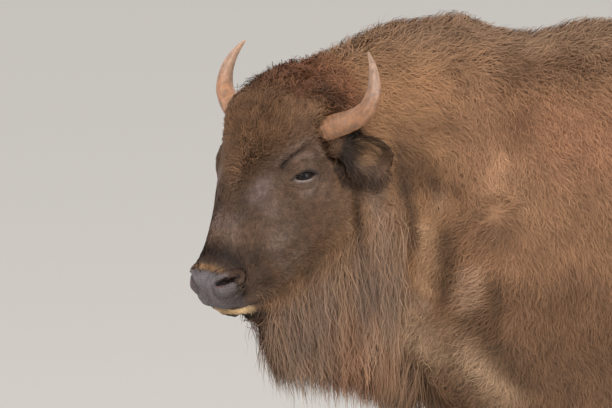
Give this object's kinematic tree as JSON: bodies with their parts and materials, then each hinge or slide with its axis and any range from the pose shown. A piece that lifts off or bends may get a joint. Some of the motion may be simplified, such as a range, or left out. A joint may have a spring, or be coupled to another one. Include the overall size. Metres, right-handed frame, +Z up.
{
  "type": "european bison",
  "caption": "Life-size still model of a European bison cow in winter coat, standing square with her head turned to her left.",
  "frame": {"origin": "middle of the whole model's footprint, on the plane of the hoof soles", "axes": "+Z up; her trunk lies along X with her head towards -X and her tail towards +X; her left side is towards -Y"},
  "size_m": [2.3456, 0.6388, 1.6921],
  "materials": {
    "mane": "woolly hair of medium length, matt, light brown with a pinkish tan shoulder",
    "coat": "dense short hair, matt, grey-brown and darker along the spine",
    "face": "very short dark brown hair with a faint grey sheen",
    "nose": "bare moist blue-grey skin, finely creased",
    "beard": "long soft hanging hair, grey-brown with reddish tips",
    "leg": "short smooth dark brown hair",
    "tail": "short hair on the tail, long coarse dark hair in its tuft",
    "horn": "worn horn, pinkish tan with a darker edge and a blue-grey tip",
    "hoof": "dark worn horn with fine growth rings",
    "eye": "wet dark brown eye with a level pupil"
  },
  "bodies": {
    "root": {"barrel": "coat", "claw_fore_left_inner": "hoof", "claw_fore_left_outer": "hoof", "claw_fore_right_inner": "hoof", "claw_fore_right_outer": "hoof", "claw_hind_left_inner": "hoof", "claw_hind_left_outer": "hoof", "claw_hind_right_inner": "hoof", "claw_hind_right_outer": "hoof", "dewclaw_fore_left_inner": "hoof", "dewclaw_fore_left_outer": "hoof", "dewclaw_fore_right_inner": "hoof", "dewclaw_fore_right_outer": "hoof", "dewclaw_hind_left_inner": "hoof", "dewclaw_hind_left_outer": "hoof", "dewclaw_hind_right_inner": "hoof", "dewclaw_hind_right_outer": "hoof", "ear_left": "face", "ear_right": "face", "eye_left": "eye", "eye_right": "eye", "forearm_left": "leg", "forearm_right": "leg", "forecannon_left": "leg", "forecannon_right": "leg", "head": "face", "hindcannon_left": "leg", "hindcannon_right": "leg", "horn_left": "horn", "horn_right": "horn", "jaw": "face", "muzzle": "nose", "neck": "mane", "rump": "coat", "shoulders": "mane", "tail": "tail", "tail_tuft": "tail", "thigh_left": "leg", "thigh_right": "leg", "throat_mane": "beard"}
  },
  "joints": []
}
